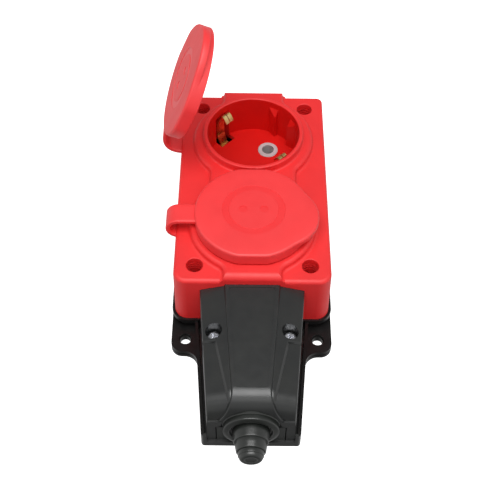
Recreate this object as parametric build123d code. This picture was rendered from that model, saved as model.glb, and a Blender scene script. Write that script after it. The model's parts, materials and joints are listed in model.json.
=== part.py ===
from build123d import *
import math
import os

# A two-gang splash-proof socket box with hinged rubber lids: a black tray with fixing ears and a cable
# trough, a red rubber housing with two earthed sockets, and a black cover with a stepped gland.
# Frame: origin on the tray's bottom face, midway between the two sockets. +Y runs from the cable end
# to the rear, +X to the right as seen from the cable end, and +Z is up, out of the sockets.
# All sizes in millimetres.

# Sockets
SOCKET_PITCH = 46.54
SOCKETS = {"front": -SOCKET_PITCH / 2, "rear": SOCKET_PITCH / 2}
WELL_R = 19.8
WELL_FLOOR_Z = 21.9
WELL_FLOOR_T = 2.4
WELL_TUBE_R = 22.3
COLLAR_R = 21.4
COLLAR_Z = 40.6
RIM_R = 0.45
PIN_SPACING = 19.0
PIN_LINE_DEG = 45.0
EARTH_DEG = (135.0, 315.0)
RIB_HALF_ANGLE = 12.0
RIB_DEPTH = 2.0
EARTH_SLOT_W = 8.0
EARTH_SLOT_R = 22.6
EARTH_SLOT_Z = 36.3
EARTH_SLOT_INNER_R = 15.6
EARTH_GUARD_X = (18.8, 24.4)

# Red housing
HOUSING_HALF_W = 31.5
HOUSING_HALF_L = 52.1
HOUSING_Z0 = 8.8
HOUSING_Z1 = 34.0
HOUSING_DRAFT = 0.9
HOUSING_EDGE_R = 1.6
HOUSING_WALL = 2.5
HOUSING_CORNER_FRONT = 5.5
HOUSING_CORNER_REAR = 3.0
PLATEAU_Z = 36.9
PLATEAU_R = 25.7
PLATEAU_ROUND = 1.6
PLATEAU_FOOT_R = 1.2
PLATEAU_END_R = {"front": 2.6, "rear": 1.4}
PLATEAU_INNER_R = 4.5
PLATEAU_WAIST = 18.0
PLATEAU_FRONT_BAND = 11.4
PLATEAU_REAR_BAND = 13.2
SCREW_X = 22.8
SCREW_Y = 43.75
SCREW_WELL_R = 3.3
SCREW_WELL_Z = 14.4

# Lids and their living hinges
LID_R = 23.3
LID_FLAT = 22.6
LID_TOP_Z = 43.1
LID_TOP_T = 1.5
LID_SKIRT_Z = 37.5
LID_BORE_R = 21.75
LID_TAB_R = 15.2
LID_TAB = (11.2, -2.0)
LID_TAB_EASE = 6.0
LID_TAB_T = 3.0
LID_EDGE_R = 0.7
LID_LEDGE = 0.1
LID_DISC_R = 12.7
HINGE_X = -34.5
HINGE_Z = 34.5
REAR_LID_OPEN = 68.0
STRAP_W = 9.2
STRAP_T = 1.8
STRAP_LOOP_R = 4.4
STRAP_LOOP_X = -29.75
STRAP_TOP_Z = 40.6
STRAP_TAIL_X = -28.6
STRAP_BOW = 9.0

# Black tray
TRAY_HALF_W = 32.65
TRAY_HALF_L = 53.1
TRAY_FLOOR_T = 2.2
TROUGH_CORNER_R = 1.4
FLANGE_Z0 = 6.6
RIM_Z = 8.8
PAN_STEP = 1.2
EAR_Y = 59.0
EAR_X = 27.0
EAR_END_Y = 65.0
EAR_T = 4.0
EAR_HOLE_R = 2.1
TROUGH_END_Y = -104.4
TROUGH_WALL = 1.2
TROUGH_TOP_Z = 8.0
TROUGH_REAR_HALF_W = 23.4
TROUGH_FRONT_HALF_W = 18.85
TROUGH_FRONT_WALL_Z = 3.0

# Cable cover
COVER_REAR_Y = -51.5
COVER_FRONT_Y = -103.2
COVER_Z0 = 3.2
COVER_WALL = 1.8
COVER_BEND_R = 7.5
COVER_PANEL_BEND_R = 9.0
COVER_PANEL_FOOT_Z = 18.0
COVER_PANEL_REAR = (11.15, 32.4)
COVER_PANEL_FRONT = (7.4, 28.85)
COVER_PANEL_FLANK = (0.5, 1.0)
COVER_EDGE_REAR = (20.6, 28.6)
COVER_EDGE_FRONT_X = 16.3
COVER_FOOT_SPREAD = 0.6
COVER_PANEL_RISE = 1.0
COVER_STEP = 1.0
COVER_CREASE = ((14.2, -75.2), (8.8, -99.5))
COVER_STEP_BEVEL = 0.8
COVER_RIDGE_R = 0.7
COVER_PANEL_EDGE_R = 0.4
COVER_PAD_SETBACK = 0.8
COVER_PLATE_Z = 17.0
COVER_SCREW = (14.6, -70.7)
COVER_SCREW_R = 3.2
COVER_SCREW_SEAT_Z = 21.9

# Cable gland
GLAND_Z = 13.2
GLAND_FLANGE_R = 10.6
GLAND_PLATE_HALF_W = 13.1
GLAND_ARCH_R = 11.1
GLAND_STEPS = ((-105.8, 7.1, 6.6), (-109.7, 6.1, 5.6), (-113.5, 5.0, 4.5))
GLAND_TIP_Y = -116.7

# Live parts
FLOOR_UNDER_Z = WELL_FLOOR_Z - WELL_FLOOR_T
BUSHING_R = 4.45
BUSHING_BORE_R = 2.65
CONTACT_R = 3.1
CONTACT_BORE_R = 2.5
CONTACT_Z0 = 3.2
CONTACT_Z1 = 15.4
CARRIER_R = 15.5
CARRIER_Z0 = 9.0
CARRIER_SCREW_X = 12.5
BOSS_R = 2.9
BOSS_FOOT_Z = 13.2
CLIP_T = 0.8
CLIP_W = 4.2
CLIP_PROFILE = ((20.9, 24.0), (20.9, 30.5), (19.4, 35.2), (17.2, 37.9), (14.8, 35.3))
BUSBAR_X = 9.95
BUSBAR_T = 0.8
BUSBAR_Z = (3.2, 6.4)
TERMINAL_Y = (-48.4, -39.6)
TERMINAL_PITCH = 10.35
CLAMP_POST = (10.5, -84.0)
CLAMP_POST_Z = 16.0
CLAMP_TOP_Z = 20.4


def cylinder(x, y, z0, z1, r):
    return Pos(x, y, z0) * Cylinder(r, z1 - z0, align=(Align.CENTER, Align.CENTER, Align.MIN))


def box(x0, x1, y0, y1, z0, z1):
    low = (Align.MIN, Align.MIN, Align.MIN)
    return Pos(x0, y0, z0) * Box(x1 - x0, y1 - y0, z1 - z0, align=low)


def prism(sketch, z0, z1, taper=0.0):
    return extrude(Pos(0, 0, z0) * sketch, amount=z1 - z0, taper=taper)


def keep_below(solid, *points):
    """Cuts a solid by the plane through three points and keeps the part under it."""
    a, b, c = (Vector(*p) for p in points)
    normal = (b - a).cross(c - a).normalized()
    if normal.Z < 0:
        normal = -normal
    return split(solid, Plane(origin=a, z_dir=normal), keep=Keep.BOTTOM)


def level_edges(solid, z):
    """The edges that lie flat at one height."""
    spans = [(e, e.bounding_box()) for e in solid.edges()]
    return [e for e, span in spans if abs(span.min.Z - z) + abs(span.max.Z - z) < 0.01]


def level_circles(solid, z):
    return [e for e in level_edges(solid, z) if e.geom_type == GeomType.CIRCLE]


def pin_places(yc):
    """The two pin centres of a socket: the line pin first, then the neutral pin."""
    dx = PIN_SPACING / 2 * math.cos(math.radians(PIN_LINE_DEG))
    dy = PIN_SPACING / 2 * math.sin(math.radians(PIN_LINE_DEG))
    return [(dx, yc + dy), (-dx, yc - dy)]


def drafted_outline(half_w, half_l, front_r, rear_r):
    outline = Rectangle(2 * half_w, 2 * half_l)
    outline = fillet(outline.vertices().sort_by(Axis.Y)[:2], front_r)
    return fillet(outline.vertices().sort_by(Axis.Y)[-2:], rear_r)


# ---------------------------------------------------------------- red housing


def housing_envelope(grow=0.0):
    radii = (HOUSING_CORNER_FRONT + grow, HOUSING_CORNER_REAR + grow)
    outline = drafted_outline(HOUSING_HALF_W + grow, HOUSING_HALF_L + grow, *radii)
    return prism(outline, HOUSING_Z0, HOUSING_Z1, HOUSING_DRAFT)


def plateau_outline():
    discs = [Pos(0, yc) * Circle(PLATEAU_R) for yc in SOCKETS.values()]
    waist = Rectangle(2 * PLATEAU_WAIST, SOCKET_PITCH)
    reach = HOUSING_HALF_L + 3
    front = Pos(0, -reach / 2) * Rectangle(2 * PLATEAU_FRONT_BAND, reach)
    rear = Pos(0, reach / 2) * Rectangle(2 * PLATEAU_REAR_BAND, reach)
    outline = Sketch() + discs + waist + front + rear
    corners = [v for v in outline.vertices() if abs(v.Y) < reach - 1]
    return fillet(corners, PLATEAU_INNER_R)


def plateau():
    """The raised band round both sockets: hollow foot, rounded rim, ends run down into the walls."""
    outline = plateau_outline()
    root_z = HOUSING_Z1 - 3.0
    deck = prism(Rectangle(120, 160), root_z, HOUSING_Z1) + prism(outline, root_z, PLATEAU_Z)
    deck = fillet(deck.faces().sort_by(Axis.Z)[-1].edges(), PLATEAU_ROUND)
    level = level_edges(deck, HOUSING_Z1)
    root = [e for e in level if abs(e.center().X) < 50 and abs(e.center().Y) < 70]
    deck = fillet(root, PLATEAU_FOOT_R)
    block = deck & prism(offset(outline, PLATEAU_FOOT_R + 0.05), root_z, PLATEAU_Z + 1)
    end_y = HOUSING_HALF_L - (PLATEAU_Z - HOUSING_Z0) * math.tan(math.radians(HOUSING_DRAFT))
    foot = [(-HOUSING_HALF_L, HOUSING_Z0), (HOUSING_HALF_L, HOUSING_Z0)]
    head = [(end_y, PLATEAU_Z), (-end_y, PLATEAU_Z)]
    profile = make_face(Polyline(*foot, *head, close=True))
    for end, direction in (("front", -1), ("rear", 1)):
        corner = [v for v in profile.vertices() if v.Y > PLATEAU_Z - 0.1 and v.X * direction > 0]
        profile = fillet(corner, PLATEAU_END_R[end])
    return block & extrude(Plane.YZ.offset(-40) * profile, amount=80)


def guide_rib(angle, side):
    """A triangular rib on the well wall: steep towards the key slot, gentle on the other side."""
    wall = WELL_R + 0.3
    apex = WELL_R - RIB_DEPTH
    steep = angle - side * 1.0
    gentle = angle + side * 14.0

    def at(radius, degrees):
        return (radius * math.cos(math.radians(degrees)), radius * math.sin(math.radians(degrees)))

    outline = make_face(Polyline(at(wall, steep), at(apex, angle), at(wall, gentle), close=True))
    rib = prism(outline, WELL_FLOOR_Z - 0.2, 37.0)
    slope = Cone(WELL_R - 3.0, WELL_R + 2.2, 9.0, align=(Align.CENTER, Align.CENTER, Align.MIN))
    return rib - Pos(0, 0, 32.0) * slope


def earth_slot(yc, degrees):
    """The slot in the well wall and floor that an earth contact arm stands in."""
    half = EARTH_SLOT_W / 2
    arm_slot = box(EARTH_SLOT_INNER_R, EARTH_SLOT_R, -half, half, FLOOR_UNDER_Z - 0.01, EARTH_SLOT_Z)
    return Pos(0, yc, 0) * Rot(0, 0, degrees) * arm_slot


def upper_housing():
    outer = housing_envelope()
    outer = fillet(outer.faces().sort_by(Axis.Z)[-1].edges(), HOUSING_EDGE_R)
    cavity = prism(
        drafted_outline(HOUSING_HALF_W - HOUSING_WALL, HOUSING_HALF_L - HOUSING_WALL, 3.0, 1.5),
        HOUSING_Z0 - 0.01,
        HOUSING_Z1 - HOUSING_WALL,
        HOUSING_DRAFT,
    )
    shell = outer - cavity + plateau()

    for yc in SOCKETS.values():
        shell += cylinder(0, yc, FLOOR_UNDER_Z, HOUSING_Z1 - 0.5, WELL_TUBE_R)
        collar = cylinder(0, yc, HOUSING_Z1 - 0.5, COLLAR_Z, COLLAR_R)
        shell += collar
        for degrees in EARTH_DEG:
            guard = box(*EARTH_GUARD_X, -5.8, 5.8, FLOOR_UNDER_Z + 0.5, HOUSING_Z1 - 0.5)
            shell += Pos(0, yc, 0) * Rot(0, 0, degrees) * guard
        for x in (-CARRIER_SCREW_X, CARRIER_SCREW_X):
            shell += cylinder(x, yc, BOSS_FOOT_Z, FLOOR_UNDER_Z + 0.5, BOSS_R)
    for x in (-SCREW_X, SCREW_X):
        for y in (-SCREW_Y, SCREW_Y):
            shell += cylinder(x, y, SCREW_WELL_Z - 2.0, HOUSING_Z1 - 1.5, SCREW_WELL_R + 1.9)

    for yc in SOCKETS.values():
        shell -= cylinder(0, yc, WELL_FLOOR_Z, COLLAR_Z + 1, WELL_R)
        for degrees in EARTH_DEG:
            shell -= earth_slot(yc, degrees)
        for centre in (PIN_LINE_DEG, PIN_LINE_DEG + 180):
            for side in (-1, 1):
                shell += Pos(0, yc, 0) * guide_rib(centre + side * RIB_HALF_ANGLE, side)
        for x, y in pin_places(yc):
            shell -= cylinder(x, y, FLOOR_UNDER_Z - 1, WELL_FLOOR_Z + 1, BUSHING_R)
        for x in (-CARRIER_SCREW_X, CARRIER_SCREW_X):
            shell -= cylinder(x, yc, BOSS_FOOT_Z - 0.2, FLOOR_UNDER_Z + 0.6, 1.45)
        shell -= strap_pocket(yc)
    for x in (-SCREW_X, SCREW_X):
        for y in (-SCREW_Y, SCREW_Y):
            shell -= cylinder(x, y, SCREW_WELL_Z, HOUSING_Z1 + 4, SCREW_WELL_R)
            shell -= cylinder(x, y, SCREW_WELL_Z - 3, SCREW_WELL_Z + 1, 1.8)
            for depth in (2.6, 4.0, 5.4):
                groove_z = HOUSING_Z1 - depth
                shell -= cylinder(x, y, groove_z - 0.6, groove_z, SCREW_WELL_R + 0.3)
    shell -= box(-9, 9, -HOUSING_HALF_L - 1, -HOUSING_HALF_L + HOUSING_WALL + 1, HOUSING_Z0 - 1, 15.0)
    shell = fillet(level_edges(shell, COLLAR_Z), RIM_R)
    collar_foot = [e for e in level_circles(shell, PLATEAU_Z) if abs(e.radius - COLLAR_R) < 0.01]
    shell = fillet(collar_foot, 0.8)
    well_mouths = [e for e in level_circles(shell, HOUSING_Z1) if abs(e.radius - SCREW_WELL_R) < 0.01]
    return fillet(well_mouths, 0.35)


def strap_pocket(yc):
    """The slot in the left wall that grips a strap's tail, with its mouth opened upwards for the loop."""
    half = STRAP_W / 2 + 0.05
    z = STRAP_TOP_Z - 2 * STRAP_LOOP_R
    low, high = z - STRAP_T / 2 - 0.05, z + STRAP_T / 2 + 0.05
    grip = box(-HOUSING_HALF_W - 1, STRAP_TAIL_X, yc - half, yc + half, low, high)
    return grip + box(-HOUSING_HALF_W - 1, STRAP_LOOP_X - 0.1, yc - half, yc + half, low, high + 0.35)


# ---------------------------------------------------------------- lids


def lid_pose(opening):
    """Turns a closed lid about its hinge line by an opening angle in degrees."""
    return Pos(HINGE_X, 0, HINGE_Z) * Rot(0, -opening, 0) * Pos(-HINGE_X, 0, -HINGE_Z)


def lid(yc):
    flats = Rectangle(80, 2 * LID_FLAT)
    skirt = Circle(LID_R - LID_LEDGE) & Rectangle(80, 2 * (LID_FLAT - LID_LEDGE))
    tab_part = Circle(LID_R) + Pos(*LID_TAB) * Circle(LID_TAB_R)
    tab_part = fillet(tab_part.vertices(), LID_TAB_EASE) & flats
    brim = prism(tab_part, LID_TOP_Z - LID_TAB_T, LID_TOP_Z)
    brim = fillet(brim.faces().sort_by(Axis.Z)[-1].edges(), LID_EDGE_R)
    body = brim + prism(skirt, LID_SKIRT_Z, LID_TOP_Z - LID_TAB_T / 2)
    body -= cylinder(0, 0, LID_SKIRT_Z - 1, LID_TOP_Z - LID_TOP_T, LID_BORE_R)
    ring = Circle(LID_DISC_R) - Circle(LID_DISC_R - 0.5)
    body -= prism(ring, LID_TOP_Z - 0.25, LID_TOP_Z + 1)
    for x, y in pin_places(0):
        body -= cylinder(x * 0.5, y * 0.5, LID_TOP_Z - 0.25, LID_TOP_Z + 1, 1.6)
    return Pos(0, yc, 0) * body


def lid_seal(yc):
    ceiling = LID_TOP_Z - LID_TOP_T
    return cylinder(0, yc, COLLAR_Z + 0.25, ceiling, 21.6) - cylinder(0, yc, COLLAR_Z, ceiling + 1, 19.6)


def strap(yc, opening):
    """The living hinge: a flat rubber strap from a pocket in the wall, round a loop, to the lid."""
    low_z = STRAP_TOP_Z - 2 * STRAP_LOOP_R
    foot = Vector(STRAP_LOOP_X, 0, low_z)
    tail = Line((STRAP_TAIL_X - 0.05, 0, low_z), foot)
    skirt = (lid_pose(opening) * Pos(-LID_R + 0.7, 0, STRAP_TOP_Z)).position
    angle = math.radians(opening)
    heading = Vector(math.cos(angle), 0, math.sin(angle))
    if opening == 0:
        turn = TangentArc(foot, (STRAP_LOOP_X, 0, STRAP_TOP_Z), tangent=(-1, 0, 0))
        path = Wire([tail, turn, Line(turn @ 1, skirt)])
    else:
        lid_end = skirt - heading * 0.9
        bow = Bezier(foot, foot + Vector(-STRAP_BOW, 0, 0), lid_end - heading * STRAP_BOW, lid_end)
        path = Wire([tail, bow, Line(lid_end, skirt)])
    start = Plane(origin=(STRAP_TAIL_X - 0.05, 0, low_z), x_dir=(0, 1, 0), z_dir=(-1, 0, 0))
    band = sweep(start * Rectangle(STRAP_W, STRAP_T), path=path)
    lid_side = lid_pose(opening) * cylinder(0, 0, LID_SKIRT_Z - 6, LID_TOP_Z + 6, LID_R + 0.1)
    return Pos(0, yc, 0) * (band - lid_side)


# ---------------------------------------------------------------- black tray


def trough_outline(inset=0.0):
    rear = TROUGH_REAR_HALF_W - inset
    front = TROUGH_FRONT_HALF_W - inset
    y0, y1 = -TRAY_HALF_L + 3, TROUGH_END_Y + inset
    outline = make_face(Polyline((-rear, y0), (rear, y0), (front, y1), (-front, y1), close=True))
    return fillet(outline.vertices().sort_by(Axis.Y)[:2], max(TROUGH_CORNER_R - inset, 0.3))


def ear_outline(end):
    """Two fixing ears past one end of the pan: end is -1 at the cable end and +1 at the rear."""
    length = EAR_END_Y - TRAY_HALF_L + 8
    y = end * (EAR_END_Y - length / 2)
    ears = Sketch()
    for side in (-1, 1):
        inner = 19.5
        ear = Pos(side * (TRAY_HALF_W + inner) / 2, y) * Rectangle(TRAY_HALF_W - inner, length)
        ears += ear
    tips = [v for v in ears.vertices() if abs(v.Y) > EAR_END_Y - 1 and abs(v.X) > TRAY_HALF_W - 1]
    return fillet(tips, 4.5)


def base_tray():
    pan = RectangleRounded(2 * (TRAY_HALF_W - PAN_STEP), 2 * (TRAY_HALF_L - PAN_STEP), 5.5)
    flange = RectangleRounded(2 * TRAY_HALF_W, 2 * TRAY_HALF_L, 6.5)
    front_foot = trough_outline() + ear_outline(-1)
    joint = [v for v in front_foot.vertices() if abs(v.Y + EAR_END_Y) < 1 and abs(v.X) < 24]
    front_foot = fillet(joint, 5.5)
    rear_ears = ear_outline(1)
    joint = [v for v in rear_ears.vertices() if abs(v.X) < 20 and v.Y > EAR_END_Y - 1]
    rear_ears = fillet(joint, 4.5)
    foot = pan + front_foot + rear_ears
    tray = prism(foot, 0, EAR_T)
    tray -= prism(foot - offset(foot, -0.45), 1.7, 2.2)
    tray += prism(pan, 0, FLANGE_Z0) + prism(flange, FLANGE_Z0, RIM_Z)
    tray += prism(trough_outline(), 0, TROUGH_TOP_Z)
    inside = RectangleRounded(2 * (TRAY_HALF_W - 4.1), 2 * (TRAY_HALF_L - 4.1), 3.0)
    tray -= prism(inside, TRAY_FLOOR_T, RIM_Z + 1)
    trough = prism(trough_outline(TROUGH_WALL), TRAY_FLOOR_T, RIM_Z + 1)
    tray -= trough - box(-40, 40, -TRAY_HALF_L, 0, 0, 20)
    tray -= box(-9, 9, -TRAY_HALF_L - 1, -TRAY_HALF_L + 6, TRAY_FLOOR_T, RIM_Z + 1)
    tray -= box(-16.8, 16.8, TROUGH_END_Y - 1, TROUGH_END_Y + 3, TROUGH_FRONT_WALL_Z, RIM_Z + 1)
    tray -= Pos(0, TROUGH_END_Y, GLAND_Z) * Rot(90, 0, 0) * Cylinder(GLAND_FLANGE_R + 0.2, 6)

    groove = RectangleRounded(2 * 31.0, 2 * 51.6, 5.0) - RectangleRounded(2 * 29.4, 2 * 50.0, 4.0)
    tray -= prism(groove, RIM_Z - 1.2, RIM_Z + 1) - box(-9.5, 9.5, -60, -40, 0, 20)
    for x in (-SCREW_X, SCREW_X):
        for y in (-SCREW_Y, SCREW_Y):
            tray += cylinder(x, y, 1, SCREW_WELL_Z - 2.1, 3.8)
            tray -= cylinder(x, y, 3, SCREW_WELL_Z, 1.5)
    for side in (-1, 1):
        x, y = side * COVER_SCREW[0], COVER_SCREW[1]
        tray += cylinder(x, y, 1, COVER_SCREW_SEAT_Z - 1.9, 2.5) - cylinder(x, y, 3.0, 20, 1.5)
        x, y = side * CLAMP_POST[0], CLAMP_POST[1]
        tray += cylinder(x, y, 1, CLAMP_POST_Z, 3.0) - cylinder(x, y, 4.0, CLAMP_TOP_Z, 1.35)
        for end in (-1, 1):
            x, y = side * EAR_X, end * EAR_Y
            tray -= cylinder(x, y, -1, EAR_T + 1, EAR_HOLE_R)
            tray -= cylinder(x, y, 2.6, EAR_T + 1, EAR_HOLE_R + 0.45)
    saddle = box(-6, 6, CLAMP_POST[1] - 1.0, CLAMP_POST[1] + 1.0, 1, 11.5)
    saddle -= Pos(0, CLAMP_POST[1], GLAND_Z) * Rot(90, 0, 0) * Cylinder(4.3, 6)
    tray += saddle
    return tray


def housing_gasket():
    ring = RectangleRounded(2 * 30.95, 2 * 51.55, 4.95) - RectangleRounded(2 * 29.45, 2 * 50.05, 4.05)
    return prism(ring, RIM_Z - 1.2, RIM_Z) - box(-9.55, 9.55, -60, -40, 0, 20)


# ---------------------------------------------------------------- cable cover


def cover_block(drop, inset, setback=0.0):
    """The cover's outer form: shoulders lowered by drop, walls moved in by inset, front by setback too."""
    z_rear = COVER_PANEL_REAR[1] - COVER_PANEL_RISE - drop
    z_front = COVER_PANEL_FRONT[1] - COVER_PANEL_RISE - drop
    fall = COVER_EDGE_REAR[1] - COVER_PANEL_REAR[1] + COVER_PANEL_RISE
    slope = fall / (COVER_EDGE_REAR[0] - COVER_PANEL_REAR[0])
    front_y = COVER_FRONT_Y + inset + setback
    block = box(-30, 30, front_y, COVER_REAR_Y + 3, COVER_Z0, 40)
    block = keep_below(
        block,
        (0, COVER_REAR_Y, z_rear - inset),
        (1, COVER_REAR_Y, z_rear - inset),
        (0, COVER_FRONT_Y, z_front - inset),
    )
    for side in (-1, 1):
        x_rear, x_front = side * COVER_PANEL_REAR[0], side * COVER_PANEL_FRONT[0]
        block = keep_below(
            block,
            (x_rear, COVER_REAR_Y, z_rear - inset),
            (x_rear + side * 10, COVER_REAR_Y, z_rear + slope * 10 - inset),
            (x_front, COVER_FRONT_Y, z_front - inset),
        )
    for side in (-1, 1):
        edge = side * (COVER_EDGE_REAR[0] - inset)
        front_edge = side * (COVER_EDGE_FRONT_X - inset)
        foot = (edge + side * COVER_FOOT_SPREAD, COVER_REAR_Y, COVER_Z0)
        brow = COVER_EDGE_REAR[1]
        block = keep_below(block, (edge, COVER_REAR_Y, brow), (front_edge, COVER_FRONT_Y, brow), foot)
    return block


def bent_front(block, radius):
    """Rounds the top edges along the front face into the cover's front bend."""
    front = block.faces().sort_by(Axis.Y)[0]
    upper = [e for e in front.edges() if e.center().Z > front.center().Z + 2]
    return fillet([e for e in upper if abs(e.tangent_at(0.5).Z) < 0.6], radius)


def lengthwise_edges(block, least_x, least_z):
    """The upper edges along the cover and down its front bend, outside least_x and above least_z."""
    return [
        e for e in block.edges()
        if abs(e.center().X) > least_x and e.center().Z > least_z
        and abs(e.tangent_at(0.5).X) < 0.5 and e.center().Y < COVER_REAR_Y + 2.9
    ]


def shoulders(drop):
    """The cover's sloping shoulders and side walls, with a soft ridge between them."""
    block = bent_front(cover_block(drop, 0.0, COVER_PAD_SETBACK), COVER_BEND_R)
    return fillet(lengthwise_edges(block, COVER_EDGE_FRONT_X - 2.5, 15.0), COVER_RIDGE_R)


def front_plate():
    """The flat plate round the gland, which flares up on each side into the raised panel."""
    foot_x = COVER_EDGE_FRONT_X + COVER_FOOT_SPREAD
    waist_x = GLAND_ARCH_R + 0.2
    throat = (COVER_PANEL_FRONT[0] + 1.1, COVER_PANEL_FRONT[1] - COVER_PANEL_BEND_R + 0.5)
    right = [(foot_x, COVER_Z0), (foot_x - 0.45, COVER_PLATE_Z), (waist_x, COVER_PLATE_Z), throat]
    left = [(-x, z) for x, z in reversed(right)]
    outline = make_face(Polyline(*right, *left, close=True))
    outline = fillet([v for v in outline.vertices() if abs(abs(v.X) - waist_x) < 0.1], 4.0)
    front = Plane(origin=(0, COVER_FRONT_Y, 0), x_dir=(1, 0, 0), z_dir=(0, -1, 0))
    return extrude(front * outline, amount=-3.0)


def cover_panel():
    block = box(-20, 20, COVER_FRONT_Y, COVER_REAR_Y + 3, COVER_PANEL_FOOT_Z, 40)
    block = keep_below(
        block,
        (0, COVER_REAR_Y, COVER_PANEL_REAR[1]),
        (1, COVER_REAR_Y, COVER_PANEL_REAR[1]),
        (0, COVER_FRONT_Y, COVER_PANEL_FRONT[1]),
    )
    for side in (-1, 1):
        foot = side * COVER_PANEL_REAR[0]
        top_rear = foot - side * COVER_PANEL_FLANK[0]
        top_front = side * (COVER_PANEL_FRONT[0] - COVER_PANEL_FLANK[1])
        block = keep_below(
            block,
            (top_rear, COVER_REAR_Y, COVER_PANEL_REAR[1]),
            (top_front, COVER_FRONT_Y, COVER_PANEL_FRONT[1]),
            (foot, COVER_REAR_Y, COVER_PANEL_REAR[1] - COVER_PANEL_RISE),
        )
    return block


def raised_shoulders():
    """The shoulders that aren't stepped down: all behind the step, and a bevelled wedge ahead of it."""
    (x0, y0), (x1, y1) = COVER_CREASE
    end_y = COVER_FRONT_Y - 1
    x_end = x1 + (x1 - x0) / (y1 - y0) * (end_y - y1)
    rear_y = COVER_REAR_Y + 4
    right = [(x_end, end_y), (x0, y0), (30, y0), (30, rear_y)]
    left = [(-x, y) for x, y in reversed(right)]
    block = bent_front(cover_block(0.0, 0.0, COVER_PAD_SETBACK), COVER_BEND_R)
    block &= prism(make_face(Polyline(*right, *left, close=True)), COVER_Z0, 40)

    def off_crease(point):
        across = (abs(point.X) - x0) * (y1 - y0) - (point.Y - y0) * (x1 - x0)
        return abs(across) / math.hypot(x1 - x0, y1 - y0)

    tops = [e for e in block.edges() if e.center().Z > 20]
    step = [e for e in tops if abs(e.center().Y - y0) < 0.05 and abs(e.tangent_at(0.5).Z) < 0.7]
    crease = [
        e for e in tops
        if e.center().Y < y0 - 0.1 and off_crease(e.center()) < 0.12 and abs(e.tangent_at(0.5).X) < 0.9
    ]
    bevelled = chamfer(step + crease, COVER_STEP_BEVEL)
    ridges = [e for e in lengthwise_edges(bevelled, COVER_EDGE_FRONT_X, 26.0) if e.length > 20]
    return fillet(ridges, COVER_RIDGE_R)


def cable_cover():
    panel = bent_front(cover_panel(), COVER_PANEL_BEND_R)
    panel = fillet(lengthwise_edges(panel, 5.0, 22.5), COVER_PANEL_EDGE_R)
    cover = shoulders(COVER_STEP) + raised_shoulders() + panel + front_plate()
    cover -= bent_front(cover_block(COVER_STEP, COVER_WALL), COVER_BEND_R - COVER_WALL)
    cover -= box(-19.2, 19.2, COVER_REAR_Y - 0.5, COVER_REAR_Y + 5, 0, 25.0)

    field = make_face(
        Polyline(
            (-COVER_PANEL_REAR[0] + 2.1, -1.4), (COVER_PANEL_REAR[0] - 2.1, -1.4),
            (COVER_PANEL_FRONT[0] - 1.5, -44.0), (-COVER_PANEL_FRONT[0] + 1.5, -44.0), close=True,
        )
    )
    field = fillet(field.vertices(), 1.0)
    tilt = math.atan2(COVER_PANEL_REAR[1] - COVER_PANEL_FRONT[1], COVER_REAR_Y - COVER_FRONT_Y)
    upwards = (0, -math.sin(tilt), math.cos(tilt))
    panel_plane = Plane(origin=(0, COVER_REAR_Y, COVER_PANEL_REAR[1]), x_dir=(1, 0, 0), z_dir=upwards)
    cover -= extrude(panel_plane.offset(-0.3) * field, amount=3)

    for side in (-1, 1):
        x, y = side * COVER_SCREW[0], COVER_SCREW[1]
        tube = cylinder(x, y, COVER_SCREW_SEAT_Z - 1.8, 30, COVER_SCREW_R + 1.3) & cover_block(0.0, 0.4)
        cover += tube
        cover -= cylinder(x, y, COVER_SCREW_SEAT_Z, 40, COVER_SCREW_R)
        cover -= cylinder(x, y, COVER_SCREW_SEAT_Z - 3, 40, 1.75)
    arch = Pos(0, GLAND_Z) * Circle(GLAND_ARCH_R + 0.2)
    slot_h = GLAND_Z - COVER_Z0 + 2
    slot = Pos(0, GLAND_Z - slot_h / 2) * Rectangle(2 * GLAND_PLATE_HALF_W + 0.4, slot_h)
    inside = Plane(origin=(0, COVER_FRONT_Y + COVER_WALL + 1, 0), x_dir=(1, 0, 0), z_dir=(0, -1, 0))
    cover -= extrude(inside * (arch + slot), amount=COVER_WALL + 3)
    cover -= housing_envelope(0.1)
    return cover - box(-30, 30, -TRAY_HALF_L - 0.15, COVER_REAR_Y + 4, 0, RIM_Z + 0.05)


def cover_seal():
    outline = trough_outline(TROUGH_WALL + 0.15) - trough_outline(TROUGH_WALL + 2.5)
    seal = prism(outline, TRAY_FLOOR_T, COVER_Z0) & box(-30, 30, COVER_FRONT_Y, -TRAY_HALF_L - 0.1, 0, 10)
    return seal - box(-GLAND_PLATE_HALF_W - 0.4, GLAND_PLATE_HALF_W + 0.4, -110, -98, 0, 10)


# ---------------------------------------------------------------- gland and cable clamp


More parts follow.
